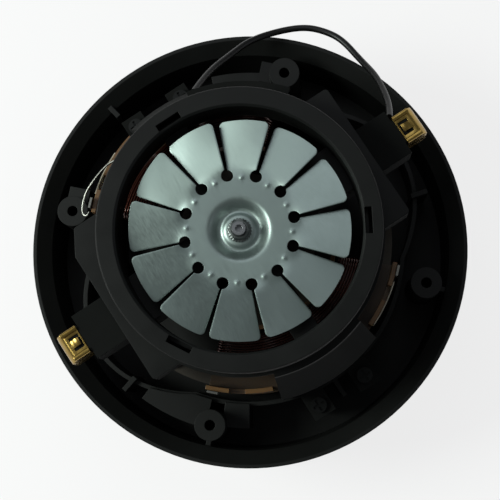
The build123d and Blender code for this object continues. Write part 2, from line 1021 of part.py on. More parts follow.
def make_commutator_bars():
    pitch = 360 / bar_count
    gap = math.degrees(bar_gap / commutator_radius)
    return group(
        sector(
            hub_radius,
            commutator_radius,
            n * pitch + gap / 2,
            (n + 1) * pitch - gap / 2,
            commutator_bottom,
            commutator_top,
        )
        for n in range(bar_count)
    )


def make_fan():
    # A pressed disc: dished hub, twelve holes, and a pitched blade between each two
    sheet_low = fan_top - fan_sheet
    floor = fan_top - hub_depth
    section = [
        (thread_radius + seat_gap, floor + hub_seat_height),
        (hub_seat_radius, floor + hub_seat_height),
        (hub_seat_foot, floor),
        (hub_floor_radius, floor),
        (hub_step_radius, fan_top),
        (fan_hole_circle, fan_top),
        (fan_hole_circle, sheet_low),
        (hub_step_radius + fan_sheet / 2, sheet_low),
        (hub_floor_radius + fan_sheet / 2, floor - fan_sheet),
        (thread_radius + seat_gap, floor - fan_sheet),
    ]
    fan = revolve(make_face(Polyline([(r, 0, z) for r, z in section], close=True)), Axis.Z)
    pitch = 360 / blade_count
    tip_half = math.radians(pitch / 2) * fan_radius - fan_slot_tip / 2
    root_radius = fan_hole_circle - fan_hole_radius / 2
    root_half = root_radius * math.sin(math.radians(pitch / 2)) - fan_slot_root
    tip_x = math.sqrt(fan_radius ** 2 - tip_half ** 2)
    outline = Polyline((tip_x, tip_half), (root_radius, root_half), (root_radius, -root_half), (tip_x, -tip_half))
    tip = ThreePointArc((tip_x, -tip_half), (fan_radius, 0), (tip_x, tip_half))
    blade_face = make_face(Curve() + [outline, tip])
    corners = blade_face.vertices().filter_by(lambda v: v.X > fan_radius / 2 + root_radius / 2)
    blade_face = fillet(corners, blade_corner)
    for n in range(blade_count):
        blade = Pos(0, 0, -fan_sheet / 2) * extrude(blade_face, amount=fan_sheet)
        angle = fan_hole_angle + pitch * (n + 1 / 2)
        fan += Pos(0, 0, fan_top - fan_sheet / 2) * turned(Rot(-blade_pitch, 0, 0) * blade, angle)
    for n in range(blade_count):
        place = polar(fan_hole_circle, fan_hole_angle + pitch * n)[:2]
        fan -= rod(*place, fan_hole_radius, sheet_low - overrun, fan_top + overrun)
    return fan


def make_nut(flats, bore, bottom, height):
    nut = Pos(0, 0, bottom) * extrude(RegularPolygon(flats / 2, 6, major_radius=False), amount=height)
    return nut - ring(bore, 0, bottom - overrun, bottom + height + overrun)


def make_vanes():
    # Curved blades between the two impeller plates
    low = impeller_bottom + impeller_sheet
    high = impeller_top - impeller_sheet
    vanes = []
    for n in range(vane_count):
        arc = Pos(vane_curve_radius, 0, 0) * ring(
            vane_curve_radius + vane_thickness / 2, vane_curve_radius - vane_thickness / 2, low, high
        )
        arc &= ring(impeller_radius - vane_thickness, vane_inner_radius, low, high)
        arc &= block(0, impeller_radius, 0, impeller_radius, low, high)
        vanes.append(turned(arc.solids()[0], 360 * n / vane_count))
    return group(vanes)


# Corners of the black lead, from the field coil out over the rim and back to a brush,
# each as its step out from the bobbin, its angle and its height
lead_steps = [
    (1.6, 75.4, 88.5),
    (9.9, 69.5, 79.0),
    (17.5, 62.1, 71.0),
    (25.3, 56.1, 65.0),
    (31.1, 48.4, 61.3),
    (34.6, 42.3, 61.0),
    (35.0, 37.2, 61.7),
    (33.9, 32.3, 63.0),
    (28.8, 25.3, 66.5),
    (25.3, 19.0, 73.5),
    (20.3, 13.1, 82.0),
    (16.2, 8.6, 88.5),
    (12.8, 6.0, 93.4),
]
bare_steps = [
    (-6.0, 111.0, 97.8),
    (-1.5, 116.6, 96.0),
    (0.2, 120.2, 95.2),
    (2.0, 125.6, 94.2),
    (3.3, 129.7, 93.3),
    (3.7, 132.2, 92.6),
    (3.9, 135.2, 91.8),
    (3.4, 137.8, 91.4),
    (2.2, 138.8, 91.6),
    (1.1, 138.4, 92.0),
    (0.6, 137.2, 92.6),
]
lead_route = [polar(bobbin_radius + out, angle, z) for out, angle, z in lead_steps]
bare_route = [polar(bobbin_radius + out, angle, z) for out, angle, z in bare_steps]


def make_lead(points, diameter, name):
    radii = corner_radii(points, corner_share)
    solid, path = tube_along(points, radii, diameter / 2)
    ratio = solid.volume / (path.length * math.pi * diameter ** 2 / 4)
    print(name, "length", round(path.length, 1), "volume share", round(ratio, 4))
    print(name, "corner radii", [round(r, 1) for r in radii])
    return solid


def make_terminals():
    # A bent tab at three ends of the coils, on the bobbin walls; the fourth end is the lead
    tabs = []
    top = stack_top + seat_gap + bobbin_height
    for pole, side in ((90, 1), (270, -1), (270, 1)):
        tab = block(
            bobbin_radius + seat_gap,
            bobbin_radius + seat_gap + terminal_thickness,
            -terminal_width / 2,
            terminal_width / 2,
            top - terminal_rise,
            top + terminal_rise / 2,
        )
        tabs.append(turned(tab, pole + side * (bobbin_half_angle - notch_half_angle)))
    return group(tabs)


def make_film(pole):
    return sector(
        bobbin_radius + seat_gap,
        bobbin_radius + seat_gap + film_thickness,
        pole + front_leg_angle + notch_half_angle,
        pole + bobbin_half_angle - film_end_angle,
        stack_top + seat_gap,
        stack_top + seat_gap + film_height,
    )


outer_upper, inner_upper, balls_upper = make_bearing(upper_bearing_bottom)
outer_lower, inner_lower, balls_lower = make_bearing(lower_bearing_bottom)
fan_floor = fan_top - hub_depth
top_journal = upper_bearing_bottom + bearing_width
under_plate = impeller_top - impeller_sheet

nodes = {
    "base_housing": make_base_housing(),
    "blower_cover": make_blower_cover(),
    "cover_screws": make_screws(cover_screw_places, cover_bottom, False, "small"),
    "inlet_seal": ring(seal_radius, seal_radius - seal_width, 0, cover_bottom),
    "stator_core": make_stator_core(),
    "stator_screws": make_screws(stator_screw_places, stack_top, True, "stator"),
    "top_frame": make_top_frame(),
    "frame_screws": make_screws(foot_screw_places, foot_top, True, "small"),
    "upper_bearing_outer_ring": outer_upper,
    "upper_bearing_inner_ring": inner_upper,
    "upper_bearing_balls": balls_upper,
    "lower_bearing_outer_ring": outer_lower,
    "lower_bearing_inner_ring": inner_lower,
    "lower_bearing_balls": balls_lower,
    "shaft": make_shaft(),
    "armature_core": make_armature_core(),
    "armature_winding": make_armature_winding(),
    "commutator_hub": make_commutator_hub(),
    "commutator_bars": make_commutator_bars(),
    "fan_spacer": ring(bearing_bore + inner_race_wall, thread_radius + screw_gap, top_journal, fan_floor - fan_sheet),
    "cooling_fan": make_fan(),
    "fan_nut": make_nut(
        fan_nut_flats, thread_radius + bearing_fit, fan_floor + hub_seat_height, fan_nut_height
    ),
    "impeller_spacer": ring(spacer_radius, shaft_radius + bearing_fit, impeller_top, lower_bearing_bottom),
    "impeller_back_plate": ring(impeller_radius, shaft_radius + bearing_fit, under_plate, impeller_top),
    "impeller_front_plate": ring(
        impeller_radius, impeller_eye, impeller_bottom, impeller_bottom + impeller_sheet
    ),
    "impeller_vanes": make_vanes(),
    "impeller_washer": ring(washer_radius, shaft_radius + bearing_fit, under_plate - washer_thickness, under_plate),
    "impeller_nut": make_nut(
        impeller_nut_flats,
        shaft_radius + bearing_fit,
        under_plate - washer_thickness - impeller_nut_height,
        impeller_nut_height,
    ),
    "coil_terminals": make_terminals(),
    "lead_wire": make_lead(lead_route, lead_diameter, "lead_wire"),
    "bare_lead": make_lead(bare_route, bare_diameter, "bare_lead"),
}
winding = make_winding()
for name, pole, leg_angle in (("a", 90, rear_leg_angle), ("b", 270, front_leg_angle)):
    nodes["field_bobbin_" + name] = make_bobbin(pole, leg_angle)
    nodes["field_coil_" + name] = make_coil(pole)
    nodes["field_winding_" + name] = turned(winding, pole - first_pole)
    nodes["insulation_film_" + name] = make_film(pole)
for name, angle in (("a", 0), ("b", 180)):
    nodes["brush_tube_" + name] = turned(make_brush_tube(), angle)
    nodes["carbon_brush_" + name] = turned(make_brush(), angle)
    nodes["brush_spring_" + name] = turned(make_spring(), angle)
    nodes["brush_clip_" + name] = turned(make_clip(), angle)

for name, solid in nodes.items():
    write(solid, name)
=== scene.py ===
import bpy, math, random
from mathutils import Matrix, Vector, noise


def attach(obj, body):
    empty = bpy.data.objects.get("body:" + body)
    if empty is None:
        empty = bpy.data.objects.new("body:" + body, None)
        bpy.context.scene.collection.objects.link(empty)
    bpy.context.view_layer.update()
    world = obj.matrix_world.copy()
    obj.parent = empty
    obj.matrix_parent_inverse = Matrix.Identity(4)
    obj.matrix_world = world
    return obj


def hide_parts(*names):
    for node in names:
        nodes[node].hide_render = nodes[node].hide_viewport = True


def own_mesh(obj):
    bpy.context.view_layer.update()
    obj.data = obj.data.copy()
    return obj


# Vacuum motor unit seen from above its cooling fan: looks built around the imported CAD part.
# Lengths in the dictionaries are millimetres in the part's own frame; mm turns them to metres.

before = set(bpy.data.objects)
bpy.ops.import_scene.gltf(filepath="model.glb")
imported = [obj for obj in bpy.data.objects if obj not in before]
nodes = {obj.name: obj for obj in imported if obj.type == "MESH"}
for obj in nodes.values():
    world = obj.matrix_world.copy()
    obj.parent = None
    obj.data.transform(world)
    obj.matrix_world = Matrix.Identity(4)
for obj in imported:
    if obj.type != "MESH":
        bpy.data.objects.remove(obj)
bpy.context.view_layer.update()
mm = 0.001
print("frame loaded:", len(nodes), "nodes")

# Camera above the fan, turned so that the brushes point to the upper right and lower left
camera = {
    "place": (-8.562, -67.810, 573.157),
    "right": (0.836144, -0.545601, -0.056411),
    "up": (0.548255, 0.828195, 0.116231),
    "back": (-0.016696, -0.128113, 0.991619),
    "viewAngle": 22.063,
    "near": 10, "far": 20000,
}

cameraData = bpy.data.cameras.new("viewCamera")
cameraData.angle = math.radians(camera["viewAngle"])
cameraData.clip_start = camera["near"] * mm
cameraData.clip_end = camera["far"] * mm
cameraObject = bpy.data.objects.new("viewCamera", cameraData)
axes = Matrix((camera["right"], camera["up"], camera["back"])).transposed()
cameraObject.matrix_world = Matrix.Translation(Vector(camera["place"]) * mm) @ axes.to_4x4()
bpy.context.scene.collection.objects.link(cameraObject)
bpy.context.scene.camera = cameraObject
print("camera placed")


# Helpers for colours, nodes and meshes

def linearColour(hexCode):
    # sRGB hex to the linear values that shaders take
    channels = [int(hexCode[i:i + 2], 16) / 255 for i in (1, 3, 5)]
    return [c / 12.92 if c <= 0.04045 else ((c + 0.055) / 1.055) ** 2.4 for c in channels] + [1.0]


def addNode(tree, kind, links=None, **settings):
    # links holds values or other nodes' outputs by socket name or number
    node = tree.nodes.new(kind)
    for key, value in settings.items():
        setattr(node, key, value)
    for socket, value in (links or {}).items():
        if isinstance(value, bpy.types.NodeSocket):
            tree.links.new(value, node.inputs[socket])
        else:
            node.inputs[socket].default_value = value
    return node


def newMaterial(name, **values):
    material = bpy.data.materials.new(name)
    material.use_nodes = True
    tree = material.node_tree
    tree.nodes.clear()
    shader = addNode(tree, "ShaderNodeBsdfPrincipled", {k.replace("_", " "): v for k, v in values.items()})
    addNode(tree, "ShaderNodeOutputMaterial", {"Surface": shader.outputs[0]})
    return material, tree, shader


def addPiece(name, data, material, body):
    piece = bpy.data.objects.new(name, data)
    bpy.context.scene.collection.objects.link(piece)
    data.materials.append(material)
    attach(piece, body)
    return piece


def meshPiece(name, corners, faces, material, body):
    # corners are in millimetres
    mesh = bpy.data.meshes.new(name)
    mesh.from_pydata([Vector(c) * mm for c in corners], [], faces)
    mesh.validate()
    return addPiece(name, mesh, material, body)


def bakeShape(piece, weld=0.0, sheet=0.0, bevel=0.0, smoothAngle=35):
    # Weld, thicken and round the edges for good, then smooth all but the sharp edges
    if weld:
        piece.modifiers.new("weld", "WELD").merge_threshold = weld * mm
    if sheet:
        solid = piece.modifiers.new("sheet", "SOLIDIFY")
        solid.thickness = sheet * mm
        solid.offset = -1
        solid.use_even_offset = True
    if bevel:
        edge = piece.modifiers.new("edge", "BEVEL")
        edge.width = bevel * mm
        edge.segments = 2
        edge.limit_method = "ANGLE"
        edge.angle_limit = math.radians(40)  # gentler edges are parts of a curve
    bpy.context.view_layer.update()
    graph = bpy.context.evaluated_depsgraph_get()
    baked = bpy.data.meshes.new_from_object(piece.evaluated_get(graph))
    piece.modifiers.clear()
    piece.data = baked
    baked.shade_smooth()
    baked.set_sharp_from_angle(angle=math.radians(smoothAngle))


def wirePiece(name, lines, radius, material, body, closed=False):
    # One curve object of round wires; each line is a list of points in millimetres
    curve = bpy.data.curves.new(name, "CURVE")
    curve.dimensions = "3D"
    curve.bevel_depth = radius  # times each point's radius of one millimetre, which also bounds the piece
    curve.bevel_resolution = 3
    curve.use_fill_caps = True
    for points in lines:
        spline = curve.splines.new("NURBS")
        spline.points.add(len(points) - 1)
        for corner, place in zip(spline.points, points):
            corner.co = (place[0] * mm, place[1] * mm, place[2] * mm, 1)
            corner.radius = mm
        spline.use_cyclic_u = closed
        spline.order_u = 3
        spline.use_endpoint_u = not closed
        spline.resolution_u = 4
        spline.use_smooth = True
    return addPiece(name, curve, material, body)


def polar(radius, angle, z):
    return (radius * math.cos(math.radians(angle)), radius * math.sin(math.radians(angle)), z)


def between(low, high, share):
    return low + (high - low) * share


def ease(x):
    x = max(0.0, min(1.0, x))
    return x * x * (3 - 2 * x)


# Materials: each starts from the real one's name and how its surface was made
noiseLow, noiseHigh = 0.3, 0.7  # nearly all of a noise texture's values lie between these


def patchyFinish(tree, shader, place, tones, size, detail, grit=0.5, sheen=None):
    # Soft patches of two tones, size millimetres across; sheen is the roughness that they run from and to
    patches = addNode(tree, "ShaderNodeTexNoise",
                      {"Vector": place, "Scale": 1 / (size * mm), "Detail": detail, "Roughness": grit}).outputs[0]
    tone = addNode(tree, "ShaderNodeMix", {0: patches, 6: linearColour(tones[0]), 7: linearColour(tones[1])},
                   data_type="RGBA")
    tree.links.new(tone.outputs[2], shader.inputs["Base Color"])
    if sheen:
        gloss = addNode(tree, "ShaderNodeMapRange",
                        {0: patches, 1: noiseLow, 2: noiseHigh, 3: sheen[0], 4: sheen[1]})
        tree.links.new(gloss.outputs[0], shader.inputs["Roughness"])
    return patches


def roundedRelief(tree, shader, height, depth, edge, strength=1.0):
    # A pattern's relief, depth millimetres deep, over edges rounded by edge millimetres in the shading
    rounded = addNode(tree, "ShaderNodeBevel", {"Radius": edge * mm}, samples=4)
    bump = addNode(tree, "ShaderNodeBump",
                   {"Height": height, "Distance": depth * mm, "Strength": strength, "Normal": rounded.outputs[0]})
    tree.links.new(bump.outputs[0], shader.inputs["Normal"])


def roundTheShaft(tree, place):
    # Distance from the shaft's axis, and height
    spread = addNode(tree, "ShaderNodeSeparateXYZ", {0: place})
    flat = addNode(tree, "ShaderNodeCombineXYZ", {0: spread.outputs[0], 1: spread.outputs[1]})
    reach = addNode(tree, "ShaderNodeVectorMath", {0: flat.outputs[0]}, operation="LENGTH")
    return reach.outputs["Value"], spread.outputs[2]


def mouldedPlastic(name, colour, shade, grain, depth, edge, roughness, mottle=40, **values):
    # Injection-moulded plastic: a spark-eroded grain, soft tone changes from flow and handling, rounded edges
    material, tree, shader = newMaterial(name, **values)
    place = addNode(tree, "ShaderNodeTexCoord").outputs["Object"]
    patchyFinish(tree, shader, place, (colour, shade), mottle, 5.0, 0.6, (roughness - 0.07, roughness + 0.07))
    texture = addNode(tree, "ShaderNodeTexNoise", {"Vector": place, "Scale": 1 / (grain * mm), "Detail": 3.0})
    roundedRelief(tree, shader, texture.outputs[0], depth, edge)
    return material


def workedMetal(name, colour, shade, roughness, lines, depth, edge, stretch=(1.0, 1.0, 1.0), swirl=False, patch=9):
    # Metal with fine marks from rolling or turning: lines is their spacing, stretch draws them out
    material, tree, shader = newMaterial(name, Metallic=1.0)
    place = addNode(tree, "ShaderNodeTexCoord").outputs["Object"]
    if swirl:  # lines run round the shaft
        reach, level = roundTheShaft(tree, place)
        track = addNode(tree, "ShaderNodeCombineXYZ", {0: reach, 2: level}).outputs[0]
    else:
        track = addNode(tree, "ShaderNodeVectorMath", {0: place, 1: stretch}, operation="MULTIPLY").outputs[0]
    marks = addNode(tree, "ShaderNodeTexNoise", {"Vector": track, "Scale": 1 / (lines * mm), "Detail": 2.0})
    patches = patchyFinish(tree, shader, place, (colour, shade), patch, 4.0, 0.6)
    both = addNode(tree, "ShaderNodeMath", {0: marks.outputs[0], 1: patches}, operation="ADD")
    gloss = addNode(tree, "ShaderNodeMapRange",
                    {0: both.outputs[0], 1: 0.7, 2: 1.3, 3: roughness - 0.06, 4: roughness + 0.08})
    tree.links.new(gloss.outputs[0], shader.inputs["Roughness"])
    roundedRelief(tree, shader, marks.outputs[0], depth, edge)
    return material


# Glass-filled nylon, moulded: near black, dry, with a fine grain of about 0.5 mm
housingNylon = mouldedPlastic("mouldedNylonHousing", "#0d0e0d", "#151615", 0.5, 0.035, 0.45, 0.5,
                              IOR=1.5, Specular_IOR_Level=0.22)
# The same nylon from a smoother tool: a softer sheen that shows the ring's flat top
frameNylon = mouldedPlastic("mouldedNylonFrame", "#0c0d0c", "#161716", 0.35, 0.025, 0.4, 0.46, mottle=16,
                            IOR=1.5, Specular_IOR_Level=0.2)
# Unfilled polyester resin: amber, lets a little light through its thin walls
bobbinResin = mouldedPlastic("amberPolyesterResin", "#6f4d21", "#513717", 0.6, 0.02, 0.25, 0.38,
                             IOR=1.57, Subsurface_Weight=0.2, Subsurface_Scale=0.002,
                             Subsurface_Radius=(1.0, 0.5, 0.15))
# Nitrile rubber: black, dull, slightly open skin
sealRubber = mouldedPlastic("nitrileRubber", "#191918", "#232322", 0.9, 0.05, 0.6, 0.72, IOR=1.52)
# Phenolic compound under the copper bars: dark brown and hard
phenolic = mouldedPlastic("phenolicCompound", "#2a1d14", "#38281b", 0.4, 0.02, 0.2, 0.4, IOR=1.6)
# PVC sleeve of the lead: black, a little shiny, smooth
leadPvc = mouldedPlastic("blackPvcSleeve", "#0b0b0b", "#121212", 1.2, 0.02, 0.1, 0.4,
                         IOR=1.53, Specular_IOR_Level=0.3)
# Electrographitic carbon: dark grey, dry, finely speckled
brushCarbon = mouldedPlastic("electrographiteCarbon", "#2b2b2d", "#3b3b3e", 0.25, 0.03, 0.3, 0.62,
                             mottle=1.2, IOR=2.0)

# Bright rolled steel sheet, zinc passivated: cool grey, satin, faint rolling lines
fanSteel = workedMetal("passivatedSteelSheet", "#98a6a1", "#8b9997", 0.42, 0.5, 0.002, 0.1,
                       stretch=(1.0, 0.08, 1.0), patch=22)
# Zinc-plated screws and washers: brighter, slightly uneven plating
zincSteel = workedMetal("zincPlatedSteel", "#a8a9a3", "#8e8f8a", 0.34, 0.4, 0.004, 0.2)
# Ground steel shaft: grinding lines run round it
shaftSteel = workedMetal("groundShaftSteel", "#a3a5a6", "#8b8e90", 0.28, 0.25, 0.003, 0.2, swirl=True)
# Hardened bearing steel: polished
bearingSteel = workedMetal("polishedBearingSteel", "#b9babb", "#a9abac", 0.16, 0.2, 0.001, 0.15, swirl=True)
# Spun and pressed aluminium: pale, rings from spinning
impellerAluminium = workedMetal("spunAluminium", "#c6c8ca", "#b4b7ba", 0.36, 0.35, 0.004, 0.2, swirl=True)
# Rolled brass strip, folded: warm yellow, browner where it has aged
clipBrass = workedMetal("rolledBrass", "#b39a56", "#7f6230", 0.26, 0.4, 0.004, 0.15,
                        stretch=(0.1, 1.0, 1.0), patch=3.5)
# Turned copper: fresh pink-orange with turning lines
barCopper = workedMetal("turnedCopper", "#c9784f", "#a85c38", 0.3, 0.2, 0.004, 0.1, swirl=True)
# Tinned copper wire: bright and smooth
tinnedWire = workedMetal("tinnedCopperWire", "#9d9d97", "#7f7f79", 0.3, 0.3, 0.002, 0.05)
# Oiled steel of the nut on the shaft's end: darker than plating
darkSteel = workedMetal("oiledSteelNut", "#6d7270", "#565b5a", 0.36, 0.3, 0.004, 0.1)
# Screws of the frame's feet: black oxide, oily
blackSteel = workedMetal("blackOxideSteel", "#2b2c2b", "#1f2020", 0.45, 0.3, 0.004, 0.1)


def shareAbove(tree, level, low, high):
    # 0 below the height low, 1 above high
    return addNode(tree, "ShaderNodeMapRange", {0: level, 1: low * mm, 2: high * mm, 3: 0.0, 4: 1.0}).outputs[0]


def darkerBelow(material, low, high, colour, waver=3):
    # Under the upper edge the base colour turns to a darker brown, along a wavering line
    tree = material.node_tree
    shader = next(node for node in tree.nodes if node.type == "BSDF_PRINCIPLED")
    tone = shader.inputs["Base Color"].links[0].from_socket
    place = addNode(tree, "ShaderNodeTexCoord").outputs["Object"]
    spread = addNode(tree, "ShaderNodeSeparateXYZ", {0: place})
    waverNoise = addNode(tree, "ShaderNodeTexNoise", {"Vector": place, "Scale": 1 / (waver * mm)})
    sway = addNode(tree, "ShaderNodeMath", {0: waverNoise.outputs[0], 1: waver * mm}, operation="MULTIPLY")
    level = addNode(tree, "ShaderNodeMath", {0: spread.outputs[2], 1: sway.outputs[0]}, operation="ADD")
    share = shareAbove(tree, level.outputs[0], low, high)
    mixed = addNode(tree, "ShaderNodeMix", {0: share, 6: linearColour(colour), 7: tone}, data_type="RGBA")
    tree.links.new(mixed.outputs[2], shader.inputs["Base Color"])


def dullBelow(material, low, high, roughness):
    # Carbon dust from the brushes has settled under the ring and takes the sheen off
    tree = material.node_tree
    shader = next(node for node in tree.nodes if node.type == "BSDF_PRINCIPLED")
    sheen = shader.inputs["Roughness"].links[0].from_socket
    place = addNode(tree, "ShaderNodeTexCoord").outputs["Object"]
    spread = addNode(tree, "ShaderNodeSeparateXYZ", {0: place})
    share = shareAbove(tree, spread.outputs[2], low, high)
    mixed = addNode(tree, "ShaderNodeMix", {0: share, 2: roughness, 3: sheen})
    tree.links.new(mixed.outputs[0], shader.inputs["Roughness"])


darkerBelow(bobbinResin, 88.0, 92.5, "#3a2813")
dullBelow(frameNylon, 102.5, 103.9, 1.0)


def makeLaminations():
    # Electrical steel sheets 0.5 mm thick: fine grooves between them, dark varnish and a rust tint
    sheets = {"pitch": 0.5, "groove": 0.06, "edge": 0.2, "patch": 6, "tones": ("#4c4a45", "#352d26")}
    material, tree, shader = newMaterial("varnishedLaminations", Metallic=0.85, Coat_Weight=0.25,
                                         Coat_Roughness=0.3)
    place = addNode(tree, "ShaderNodeTexCoord").outputs["Object"]
    bandScale = 0.31416 / (sheets["pitch"] * mm)  # a wave texture's bands are two pi over twenty of its scale apart
    stack = addNode(tree, "ShaderNodeTexWave", {"Vector": place, "Scale": bandScale},
                    wave_type="BANDS", bands_direction="Z")
    patchyFinish(tree, shader, place, sheets["tones"], sheets["patch"], 6.0, 0.65, (0.38, 0.58))
    roundedRelief(tree, shader, stack.outputs[0], sheets["groove"], sheets["edge"], 0.8)
    return material


def makeEnamelledCopper(name, colour, shade, coils=0):
    # Copper under red-brown enamel: glassy lacquer over warm metal.
    # On a plain bundle coils is the spacing of its turns, drawn as ridges
    material, tree, shader = newMaterial(name, Metallic=0.85, Coat_Weight=0.6, Coat_Roughness=0.12, Coat_IOR=1.55)
    place = addNode(tree, "ShaderNodeTexCoord").outputs["Object"]
    patchyFinish(tree, shader, place, (colour, shade), 2.5, 4.0, sheen=(0.24, 0.36))
    if coils:
        reach, level = roundTheShaft(tree, place)
        turns = addNode(tree, "ShaderNodeMath", {0: reach, 1: level}, operation="ADD")
        wave = addNode(tree, "ShaderNodeMath", {0: turns.outputs[0], 1: 2 * math.pi / (coils * mm)},
                       operation="MULTIPLY")
        ridge = addNode(tree, "ShaderNodeMath", {0: wave.outputs[0]}, operation="SINE")
        bump = addNode(tree, "ShaderNodeBump", {"Height": ridge.outputs[0], "Distance": 0.12 * mm, "Strength": 1.0})
        tree.links.new(bump.outputs[0], shader.inputs["Normal"])
    return material


def makeFilm():
    # Polyester slot insulation: milky, thin, glossy
    material, tree, shader = newMaterial("polyesterFilm", IOR=1.6, Transmission_Weight=0.45)
    place = addNode(tree, "ShaderNodeTexCoord").outputs["Object"]
    patchyFinish(tree, shader, place, ("#d8d2c2", "#c2b99f"), 5, 3.0, sheen=(0.2, 0.34))
    return material


laminations = makeLaminations()
# Both winding colours are darker than the enamel's own red-brown: painted shade for the windings deep inside the
# motor
enamelWireWithPaintedShade = makeEnamelledCopper("enamelledCopperWirePaintedShade", "#4a1f10", "#32130a")
enamelBundleWithPaintedShade = makeEnamelledCopper("enamelledCopperBundlePaintedShade", "#4c2011", "#32130a", 0.9)
slotFilm = makeFilm()

finishes = {
    "base_housing": housingNylon, "blower_cover": housingNylon, "top_frame": frameNylon, "inlet_seal": sealRubber,
    "cover_screws": zincSteel, "stator_screws": zincSteel, "frame_screws": blackSteel, "impeller_nut": zincSteel,
    "impeller_washer": zincSteel, "stator_core": laminations, "armature_core": laminations,
    "upper_bearing_outer_ring": bearingSteel, "upper_bearing_inner_ring": bearingSteel,
    "upper_bearing_balls": bearingSteel, "lower_bearing_outer_ring": bearingSteel,
    "lower_bearing_inner_ring": bearingSteel, "lower_bearing_balls": bearingSteel, "shaft": shaftSteel,
    "fan_spacer": shaftSteel, "impeller_spacer": shaftSteel, "commutator_hub": phenolic,
    "commutator_bars": barCopper, "impeller_back_plate": impellerAluminium,
    "impeller_front_plate": impellerAluminium, "impeller_vanes": impellerAluminium,
    "field_bobbin_a": bobbinResin, "field_bobbin_b": bobbinResin, "field_coil_a": enamelBundleWithPaintedShade,
    "field_coil_b": enamelBundleWithPaintedShade, "insulation_film_a": slotFilm, "insulation_film_b": slotFilm,
    "brush_tube_a": clipBrass, "brush_tube_b": clipBrass, "carbon_brush_a": brushCarbon,
    "carbon_brush_b": brushCarbon, "coil_terminals": tinnedWire, "cooling_fan": fanSteel, "fan_nut": darkSteel,
    "armature_winding": enamelBundleWithPaintedShade, "field_winding_a": enamelWireWithPaintedShade, "field_winding_b": enamelWireWithPaintedShade,
    "brush_spring_a": zincSteel, "brush_spring_b": zincSteel, "brush_clip_a": clipBrass,
    "brush_clip_b": clipBrass, "lead_wire": leadPvc, "bare_lead": tinnedWire,
}
for name, node in nodes.items():
    node.data.materials.clear()
    node.data.materials.append(finishes[name])
print("materials given to", len(finishes), "CAD nodes")

# Black lead from the field coil over the rim to a brush
lead = {
    "diameter": 2.6,
    "length": 135.9,
    "bobbin": 59.0,
    # step out from the bobbin, angle and height of each corner
    "steps": [
        (1.6, 75.4, 88.5), (9.9, 69.5, 79.0), (17.5, 62.1, 71.0), (25.3, 56.1, 65.0), (31.1, 48.4, 61.3),
        (34.6, 42.3, 61.0), (35.0, 37.2, 61.7), (33.9, 32.3, 63.0), (28.8, 25.3, 66.5), (25.3, 19.0, 73.5),
        (20.3, 13.1, 82.0), (16.2, 8.6, 88.5), (12.8, 6.0, 93.4),
    ],
}
leadRoute = [polar(lead["bobbin"] + out, angle, z) for out, angle, z in lead["steps"]]
leadCurve = wirePiece("leadWire", [leadRoute], lead["diameter"] / 2, leadPvc, "root")
leadCurve.data.splines[0].resolution_u = 12
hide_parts("lead_wire")
print("lead laid")

# Thin bare lead with its hook at the terminal
bareLead = {
    "diameter": 0.8,
    "steps": [
        (-6.0, 111.0, 97.8), (-1.5, 116.6, 96.0), (0.2, 120.2, 95.2), (2.0, 125.6, 94.2), (3.3, 129.7, 93.3),
        (3.7, 132.2, 92.6), (3.9, 135.2, 91.8), (3.4, 137.8, 91.4), (2.2, 138.8, 91.6), (1.1, 138.4, 92.0),
        (0.6, 137.2, 92.6),
    ],
}
bareRoute = [polar(lead["bobbin"] + out, angle, z) for out, angle, z in bareLead["steps"]]
bareCurve = wirePiece("bareLead", [bareRoute], bareLead["diameter"] / 2, tinnedWire, "root")
bareCurve.data.splines[0].resolution_u = 12
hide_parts("bare_lead")
print("bare lead hooked")

# Cooling fan: one sheet, dished at the hub, slit from twelve round holes and twisted blade by blade
fan = {
    "radius": 40.6, "blades": 12, "firstHole": -20.4, "sheet": 0.8, "top": 113.0,
    "holeCircle": 20.4, "holeRadius": 2.2, "slotRoot": 0.9, "slotTip": 2.2, "corner": 1.8,
    "pitch": 11.0, "twistFrom": 18.3, "twistTo": 24.0,
    "bow": 0.35, "bowHalf": 9, "bowFrom": 26, "bowOver": 12,  # each blade's edges droop a little
    "pipRadius": 0.75, "pipHeight": 0.32, "pipCircle": 19.3,
    "columns": 24, "holeRows": 14, "bladeRows": 14, "cornerRows": 8,
    "weld": 0.02, "edge": 0.14,
    # radius and height of the dished hub
    "hub": [(2.75, 111.2), (3.6, 111.2), (4.5, 111.2), (5.2, 111.12), (5.8, 110.85), (6.3, 110.4), (6.8, 110.08),
            (7.3, 110.0), (7.8, 110.12), (8.6, 110.75), (9.4, 111.45), (10.2, 112.15), (10.8, 112.6),
            (11.3, 112.86), (11.9, 112.98), (12.6, 113.0), (14.0, 113.0), (15.5, 113.0), (17.0, 113.0)],
}


def fanRows():
    # Radius and height of each ring of corners, close together round the holes and the blade corners
    top, circle, hole = fan["top"], fan["holeCircle"], fan["holeRadius"]
    bend = fan["radius"] - fan["corner"]
    steps = fan["holeRows"]
    rows = list(fan["hub"])
    rows += [(circle - hole * math.cos(math.pi * n / steps), top) for n in range(steps + 1)]
    steps = fan["bladeRows"]
    rows += [(between(circle + hole, bend, n / steps), top) for n in range(1, steps + 1)]
    steps = fan["cornerRows"]
    rows += [(bend + fan["corner"] * math.sin(math.pi * n / (2 * steps)), top) for n in range(1, steps + 1)]
    return rows


def bladeHalf(radius):
    # Half the width of the metal left between two slots at this radius, as an angle in degrees
    hole = math.sqrt(max(0.0, fan["holeRadius"] ** 2 - (radius - fan["holeCircle"]) ** 2))
    gap = hole
    if radius > fan["holeCircle"]:
        out = (radius - fan["holeCircle"]) / (fan["radius"] - fan["holeCircle"])
        gap = max(hole, between(fan["slotRoot"], fan["slotTip"], out) / 2)
    bend = fan["radius"] - fan["corner"]
    if radius > bend:
        gap += fan["corner"] - math.sqrt(max(0.0, fan["corner"] ** 2 - (radius - bend) ** 2))
    return 180 / fan["blades"] - math.degrees(math.asin(gap / radius))


